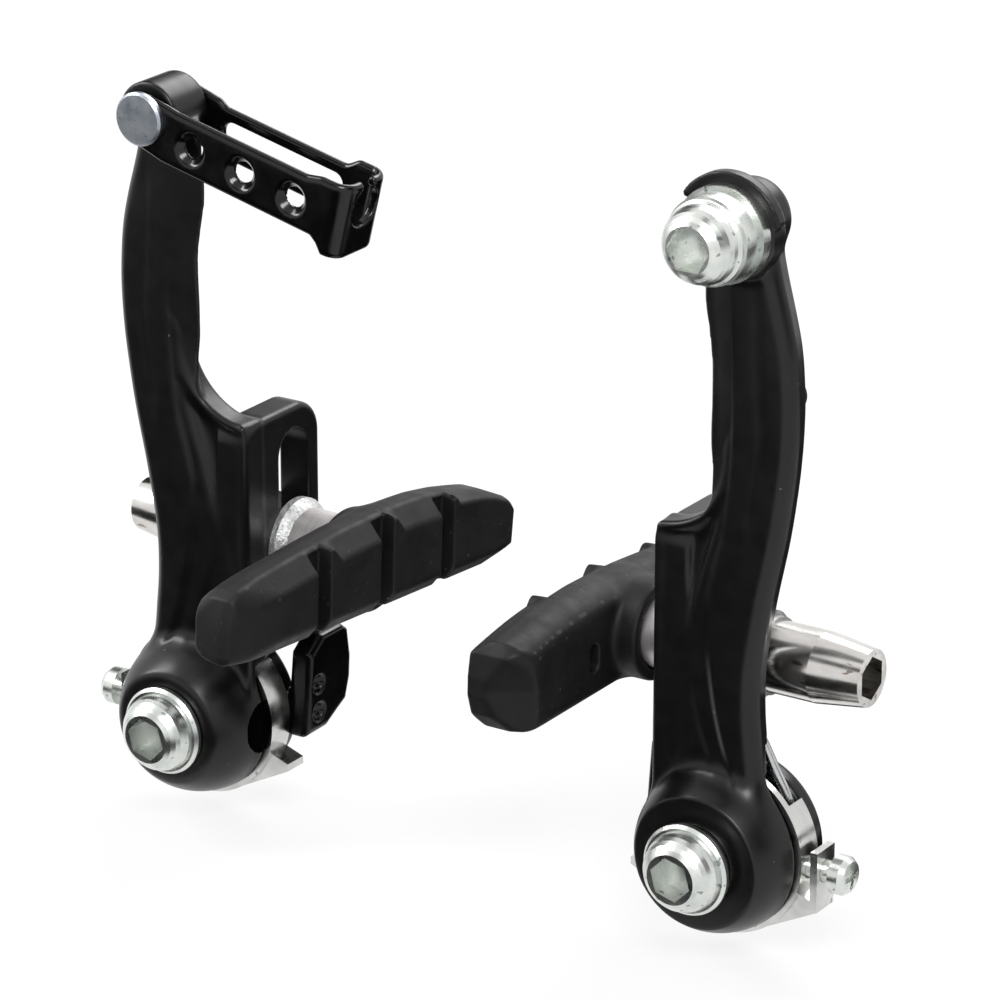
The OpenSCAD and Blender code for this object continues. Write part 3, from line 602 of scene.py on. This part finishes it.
for side, sign in sides.items():
    shape = pad[side]
    points, faces = fieldSurface(lambda w, y, z: padField(w, y, z, shape), pad["boxLow"], pad["boxHigh"],
                                 pad["pitch"])
    pitch = math.radians(pair["pitch"][side])
    toe = math.radians(pair["toe"][side])
    # about the stud first, then with the stud about the seats' centre
    w, y, z = points.T
    y, z = y * math.cos(pitch) + z * math.sin(pitch), -y * math.sin(pitch) + z * math.cos(pitch)
    w = w - pad["seat"]
    u = w * math.cos(toe) - y * math.sin(toe) + pair["lugMid"]
    y = w * math.sin(toe) + y * math.cos(toe) + pair["slotY"]
    placed = np.stack([u, y, z + pair["studZ"][side]], axis=1)
    piece = addPiece(f"{side}_pad_block", *onSide(placed, faces, sign))
    piece.data.materials.append(finishes["padRubber"])
    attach(piece, f"{side}_pad")
    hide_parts(f"{side}_brake_pad")
print("pads made")

# return springs: round wire, a coil about the pivot and a leg up the arm's back to the peg
spring = {
    "wire": 0.65, "coil": 8.2, "coilY": -4.37, "rise": 1.38, "turned": 375, "top": 67, "sides": 16,
    "legDepth": [(0, -4.37), (6, -4.6), (12, -5.3), (18, -6.25), (42, -6.25), (54, -4.25), (59, -3.85),
                 (64.5, -3.85), (67, -3.35)],
}


def tube(path, radius, sides):
    # circle carried along a path, its frame set square to one fixed direction, closed by caps
    ahead = np.gradient(path, axis=0)
    ahead /= np.linalg.norm(ahead, axis=1)[:, None]
    side = np.cross(ahead, [0, 1, 0.02])
    side /= np.linalg.norm(side, axis=1)[:, None]
    up = np.cross(side, ahead)
    angle = np.linspace(0, 2 * np.pi, sides, endpoint=False)
    ring = path[:, None, :] + radius * (np.cos(angle)[None, :, None] * side[:, None, :]
                                        + np.sin(angle)[None, :, None] * up[:, None, :])
    rows = len(path)
    points = np.concatenate([ring.reshape(-1, 3), path[:1], path[-1:]])
    k = np.arange(sides)
    kNext, last = (k + 1) % sides, (rows - 1) * sides
    start = np.stack([np.full(sides, rows * sides), k, kNext], axis=1)
    end = np.stack([np.full(sides, rows * sides + 1), last + kNext, last + k], axis=1)
    walls = wallFaces(rows, sides)
    return points, np.concatenate([walls[:, [0, 1, 2]], walls[:, [0, 2, 3]], start, end])


def addTube(name, path, radius, sides, sign):
    points, triangles = tube(path, radius, sides)
    return addPiece(name, *onSide(points, triangles, sign))


for side, sign in sides.items():
    angle = np.radians(np.arange(-spring["turned"], 0, 5.0))
    coil = np.stack([spring["coil"] * np.cos(angle), spring["coilY"] + spring["rise"] * angle / (2 * np.pi),
                     spring["coil"] * np.sin(angle)], axis=1)
    height = np.linspace(0, spring["top"], 90)
    leg = np.stack([curve(arm["legSide"], height), curve(spring["legDepth"], height), height], axis=1)
    path = np.concatenate([coil, leg])
    piece = addTube(f"{side}_spring_wire", path, spring["wire"], spring["sides"], sign)
    piece.data.materials.append(finishes["springWire"])
    x = sign * pair["pivotX"] * 0.001
    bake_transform(piece)
    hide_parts(f"{side}_return_spring")
print("springs made")

# guide link: sheet folded round the end, its edges rounded, drawn along its own length
link = {
    "pitch": 0.24, "low": (-5, -14.2, -7.6), "high": (32.8, -3.2, 4.6),
    "pinHole": 1.64, "dish": 2.2, "holesDrop": 1, "pipeHole": 2.7, "pipeSlot": 1.1,
    # along the front cheek: share of the length, radius
    "holes": [(0.25, 1.2), (0.5, 1.3), (0.75, 0.9)],
    "sheet": 1.2, "length": 31.9, "droop": 13.9, "front": -12.3, "back": -5.1,
    "profile": [(0, 3.4), (-2.8, 2.6), (-4, 0), (-3.2, -2.6), (0, -4), (4, -4.65), (27.4, -4.75),
                (28.4, -5.4), (29.4, -6.6), (33, -6.9), (33, 3.6), (27.6, 3.5), (25.4, 2.9), (5, 2.9)],
}


def linkField(a, y, z):
    # Distance to the sheet: the space between two rounded plans, cut to the profile seen from
    # the front, with three dished holes in front, a long window behind and the pipe's hole.
    sheet = link["sheet"]
    far = link["length"]
    outer = brick(a, y, (-30, link["front"] - sheet), (far, link["back"] + sheet), 2.6)
    inner = brick(a, y, (-40, link["front"]), (far - sheet, link["back"]), 1.3)
    body = meet(outer, -inner, 0.15)
    profile = outlineField(a, z, link["profile"])
    behind = step(y + 8.7, 1.0) * step(26.5 - a, 2) * step(a - 6, 2)
    body = meet(body, profile + 0.7 * behind * (z > 0), 0.9)
    body = carve(body, np.hypot(a, z) - link["pinHole"], 0.2)
    for share, radius in link["holes"]:
        hole = np.hypot(a - share * far, z + link["holesDrop"])
        dish = (hole - link["dish"]) + 0.9 * np.maximum(y - link["front"] + sheet - 0.05, 0)
        body = np.where(y < -9, carve(body, np.minimum(dish, hole - radius), 0.25), body)
    along = np.maximum(np.abs(a - far / 2 - 0.4) - far / 2 + 8.0, 0)
    window = np.hypot(along, z + link["holesDrop"]) - 1.5
    body = np.where(y > -8, carve(body, window, 0.4), body)
    middle = (link["front"] + link["back"]) / 2
    pipe = np.hypot(y - middle, z) - link["pipeHole"]
    slot = np.where(z > 0, np.abs(y - middle) - link["pipeSlot"], pipe)
    end = np.maximum(np.minimum(pipe, slot), far - 4 - a)
    return carve(body, end, 0.35)


points, faces = fieldSurface(linkField, link["low"], link["high"], link["pitch"])
tip = math.radians(link["droop"])
a, y, z = points.T
points = np.stack([a * math.cos(tip) + z * math.sin(tip) - pair["pivotX"] - pair["lean"], y,
                   z * math.cos(tip) - a * math.sin(tip) + pair["armHeight"]], axis=1)
piece = addPiece("guide_link_sheet", points, faces)
piece.data.materials.append(finishes["linkPaint"])
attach(piece, "guide_link")
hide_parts("guide_link")
print("link made")

# retainers: moulded ring behind the bracket, with a dimpled rim and a rounded tab
retainer = {
    "pitch": 0.25, "low": (-14.6, -7.2, -12.2), "high": (12.2, 7.6, 12.2),
    "front": -3.6, "back": -0.7, "rim": 10.7, "hollow": 9.5, "hollowDeep": 0.8, "bore": 5.06,
    "collar": 7.1, "collarFront": -6.6, "tabAt": -12.3, "tabHalf": 1.7,
    "dimpleRadius": 1.3, "dimpleHeights": (4.2, 0.2),
    "tab": [(-3.6, -2.5), (1.2, -2.4), (3.8, -1), (5.8, 0), (6.8, 3), (7, 6), (6.4, 9.9), (5.2, 10.8),
            (0.5, 10.8), (-2.2, 8.8)],
}


def retainerField(u, y, z):
    # Distance to the ring with its hollow back, its collar inside the spring, the tab on the
    # inner side and two dimples in the rim beside it.
    reach = np.hypot(u, z)
    ring = barrel(reach, y, retainer["rim"], retainer["front"], retainer["back"], 0.8)
    collar = barrel(reach, y, retainer["collar"], retainer["collarFront"], -3.2, 0.3)
    body = join(ring, collar, 0.4)
    side = np.abs(u - retainer["tabAt"]) - retainer["tabHalf"]
    body = join(body, meet(outlineField(y, z, retainer["tab"]), side, 0.9), 0.9)
    for height in retainer["dimpleHeights"]:
        dimple = np.sqrt((u + 14.3)**2 + (y + 0.6)**2 + (z - height)**2) - retainer["dimpleRadius"]
        body = carve(body, dimple, 0.4)
    floor = retainer["back"] - retainer["hollowDeep"]
    body = carve(body, np.maximum(reach - retainer["hollow"], floor - y), 0.3)
    return carve(body, reach - retainer["bore"], 0.3)


for side, sign in sides.items():
    points, faces = fieldSurface(retainerField, retainer["low"], retainer["high"], retainer["pitch"])
    piece = addPiece(f"{side}_retainer_ring", *onSide(points, faces, sign))
    piece.data.materials.append(finishes["retainerPlastic"])
    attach(piece, "frame_side")
    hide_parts(f"{side}_spring_retainer")
print("retainers made")

# studio: pale floor, soft lamps and the camera at the photograph's angle
studio = {
    "floorZ": -0.0145, "floorHalf": 3.0, "floorColour": (0.92, 0.92, 0.92, 1), "floorGlow": 0.8,
    "ambient": (0.75, 0.76, 0.78, 1), "ambientStrength": 0.45, "black": (0.01, 0.01, 0.01, 1),
    "eye": (0.3301, -0.5024, 0.2588), "target": (0.01232, -0.01573, 0.04263), "lens": 181.7,
    "lamps": [
        # place, aimed at, width, height, watts
        ((0.5, -0.65, 0.75), (0, 0, 0.04), 0.4, 0.35, 7.0),
        ((-0.6, -0.25, 0.5), (0, 0, 0.04), 0.2, 0.5, 4.0),
        ((0.0, 0.55, 0.6), (0, 0, 0.05), 0.6, 0.3, 4.0),
    ],
    "cards": [
        # black cards round the lamps and flat on the floor, seen only in reflections: place,
        # what they face, width, height
        ((-0.2, -0.62, 0.6), (0, 0, 0.04), 0.45, 0.22),
        ((0.7, -0.05, 0.3), (0, 0, 0.04), 0.35, 0.5),
        ((-0.45, 0.35, 0.35), (0, 0, 0.04), 0.3, 0.5),
        ((0.15, -0.1, 0.8), (0, 0, 0.04), 0.35, 0.2),
        ((-0.16, -0.19, -0.0141), (-0.16, -0.19, 1), 0.42, 0.32),
        ((0.035, 0.2, -0.0141), (0.035, 0.2, 1), 0.11, 0.36),
        ((0.225, 0.255, -0.0141), (0.225, 0.255, 1), 0.27, 0.25),
    ],
}


def aimed(place, target):
    # turn that looks from place to target along the negative Z axis
    return (Vector(place) - Vector(target)).to_track_quat("Z", "Y").to_matrix().to_4x4()


def whiteRays(nodes, links):
    # 1 for rays that should meet a white background: the camera's, reflected and through glass
    path = nodes.new("ShaderNodeLightPath")
    first = nodes.new("ShaderNodeMath")
    first.operation = "MAXIMUM"
    second = nodes.new("ShaderNodeMath")
    second.operation = "MAXIMUM"
    links.new(path.outputs["Is Camera Ray"], first.inputs[0])
    links.new(path.outputs["Is Glossy Ray"], first.inputs[1])
    links.new(first.outputs[0], second.inputs[0])
    links.new(path.outputs["Is Transmission Ray"], second.inputs[1])
    return second.outputs[0]


def addSheet(name, corners, material):
    # a flat piece of the studio
    mesh = bpy.data.meshes.new(name)
    mesh.from_pydata(corners, [], [(0, 1, 2, 3)])
    mesh.materials.append(material)
    sheet = bpy.data.objects.new(name, mesh)
    bpy.context.scene.collection.objects.link(sheet)
    return sheet


paper = bpy.data.materials.new("studioPaper")
paper.use_nodes = True
nodes, links = paper.node_tree.nodes, paper.node_tree.links
matt = nodes["Principled BSDF"]
matt.inputs["Base Color"].default_value = studio["floorColour"]
matt.inputs["Roughness"].default_value = 0.9
matt.inputs["Specular IOR Level"].default_value = 0.1
glow = nodes.new("ShaderNodeEmission")
glow.inputs["Strength"].default_value = 1.0
share = nodes.new("ShaderNodeMath")
share.operation = "MULTIPLY"
share.inputs[1].default_value = studio["floorGlow"]
links.new(whiteRays(nodes, links), share.inputs[0])
mixed = nodes.new("ShaderNodeMixShader")
links.new(share.outputs[0], mixed.inputs[0])
links.new(matt.outputs[0], mixed.inputs[1])
links.new(glow.outputs[0], mixed.inputs[2])
links.new(mixed.outputs[0], nodes["Material Output"].inputs["Surface"])
half, low = studio["floorHalf"], studio["floorZ"]
corners = [(-half, -half, low), (half, -half, low), (half, half, low), (-half, half, low)]
floor = addSheet("studio_floor", corners, paper)

for i, (place, target, width, height, watts) in enumerate(studio["lamps"]):
    light = bpy.data.lights.new(f"lamp{i}", "AREA")
    light.shape = "RECTANGLE"
    light.size, light.size_y, light.energy = width, height, watts
    lamp = bpy.data.objects.new(f"lamp{i}", light)
    lamp.matrix_world = Matrix.Translation(place) @ aimed(place, target)
    bpy.context.scene.collection.objects.link(lamp)

black = bpy.data.materials.new("studioBlack")
black.use_nodes = True
matt = black.node_tree.nodes["Principled BSDF"]
matt.inputs["Base Color"].default_value = studio["black"]
matt.inputs["Specular IOR Level"].default_value = 0.0
for i, (place, target, width, height) in enumerate(studio["cards"]):
    x, y = width / 2, height / 2
    card = addSheet(f"studio_card{i}", [(-x, -y, 0), (x, -y, 0), (x, y, 0), (-x, y, 0)], black)
    card.matrix_world = Matrix.Translation(place) @ aimed(target, place)
    card.visible_camera = False
    card.visible_diffuse = False
    card.visible_shadow = False

world = bpy.data.worlds.new("studioWorld")
world.use_nodes = True
bpy.context.scene.world = world
nodes, links = world.node_tree.nodes, world.node_tree.links
ambient = nodes["Background"]
ambient.inputs["Color"].default_value = studio["ambient"]
ambient.inputs["Strength"].default_value = studio["ambientStrength"]
white = nodes.new("ShaderNodeBackground")
white.inputs["Strength"].default_value = 1.0
white.inputs["Color"].default_value = (1, 1, 1, 1)
mixed = nodes.new("ShaderNodeMixShader")
links.new(whiteRays(nodes, links), mixed.inputs[0])
links.new(ambient.outputs[0], mixed.inputs[1])
links.new(white.outputs[0], mixed.inputs[2])
links.new(mixed.outputs[0], nodes["World Output"].inputs["Surface"])

lens = bpy.data.cameras.new("camera")
lens.lens = studio["lens"]
lens.sensor_width = 36.0
lens.clip_start, lens.clip_end = 0.01, 20
camera = bpy.data.objects.new("camera", lens)
camera.matrix_world = Matrix.Translation(studio["eye"]) @ aimed(studio["eye"], studio["target"])
bpy.context.scene.collection.objects.link(camera)
bpy.context.scene.camera = camera
bpy.context.scene.view_settings.view_transform = "Standard"
print("studio set")
